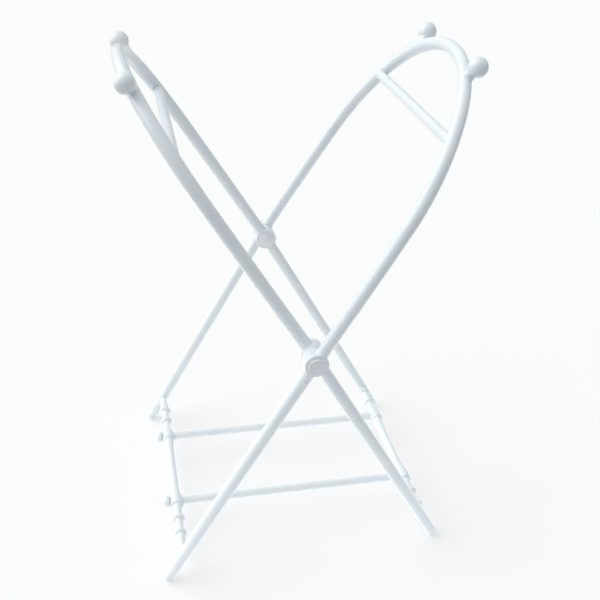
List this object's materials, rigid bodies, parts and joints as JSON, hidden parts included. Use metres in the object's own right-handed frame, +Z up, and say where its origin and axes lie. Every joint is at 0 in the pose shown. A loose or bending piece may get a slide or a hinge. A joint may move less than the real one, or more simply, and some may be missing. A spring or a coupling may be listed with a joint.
{
  "type": "baby cradle stand",
  "caption": "Folding cradle stand: two bent rod hoops on crossed legs, hinged at capped hubs, with turned crossbars that slide together on round stretchers.",
  "frame": {"origin": "on the floor, midway between the four feet, under the pivot axis", "axes": "+Z up; +Y from front to rear along the pivot axis; +X to the side where the outer frame's hoop leans"},
  "size_m": [0.5822, 0.5668, 0.9125],
  "materials": {
    "white_enamel": "turned and bent hardwood under gloss white enamel",
    "bare_beech": "plain beech dowel, glued in",
    "painted_steel": "steel under gloss white enamel",
    "nylon_white": "white nylon, satin",
    "zinc_steel": "plain zinc-plated pin"
  },
  "bodies": {
    "inner_frame": {"inner_hoop": "white_enamel", "inner_brace": "white_enamel", "inner_knob_front": "white_enamel", "inner_hub_front": "white_enamel", "inner_leg_front": "white_enamel", "inner_knob_rear": "white_enamel", "inner_hub_rear": "white_enamel", "inner_leg_rear": "white_enamel", "inner_knob_dowels": "bare_beech", "inner_leg_screws": "painted_steel", "inner_hoop_screws": "painted_steel"},
    "outer_frame": {"outer_hoop": "white_enamel", "outer_brace": "white_enamel", "outer_knob_front": "white_enamel", "outer_hub_front": "white_enamel", "outer_leg_front": "white_enamel", "outer_knob_rear": "white_enamel", "outer_hub_rear": "white_enamel", "outer_leg_rear": "white_enamel", "outer_knob_dowels": "bare_beech", "outer_leg_screws": "painted_steel", "pivot_bolt_front": "painted_steel", "pivot_nut_front": "painted_steel", "pivot_spacer_front": "nylon_white", "pivot_bolt_rear": "painted_steel", "pivot_nut_rear": "painted_steel", "pivot_spacer_rear": "nylon_white"},
    "spreader": {"right_crossbar": "white_enamel", "front_stretcher": "white_enamel", "rear_stretcher": "white_enamel", "front_stretcher_knob": "white_enamel", "rear_stretcher_knob": "white_enamel", "stretcher_pins": "zinc_steel"},
    "sliding_bar": {"left_crossbar": "white_enamel"}
  },
  "joints": [
    {"name": "fold", "type": "hinge", "parent": "inner_frame", "child": "outer_frame", "pos_m": [0, 0, 0.46126], "axis": [0, -1, 0], "range_deg": [0, 56]},
    {"name": "spreader_swing", "type": "hinge", "parent": "inner_frame", "child": "spreader", "pos_m": [0.23597, 0, 0.05826], "axis": [0, -1, 0], "range_deg": [0, 28]},
    {"name": "left_crossbar_turn", "type": "hinge", "parent": "outer_frame", "child": "sliding_bar", "pos_m": [-0.23597, 0, 0.05826], "axis": [0, -1, 0], "range_deg": [-28, 0]}
  ],
  "couplings": [
    {"joint": "spreader_swing", "follows": "fold", "ratio": 0.5},
    {"joint": "left_crossbar_turn", "follows": "fold", "ratio": -0.5}
  ]
}
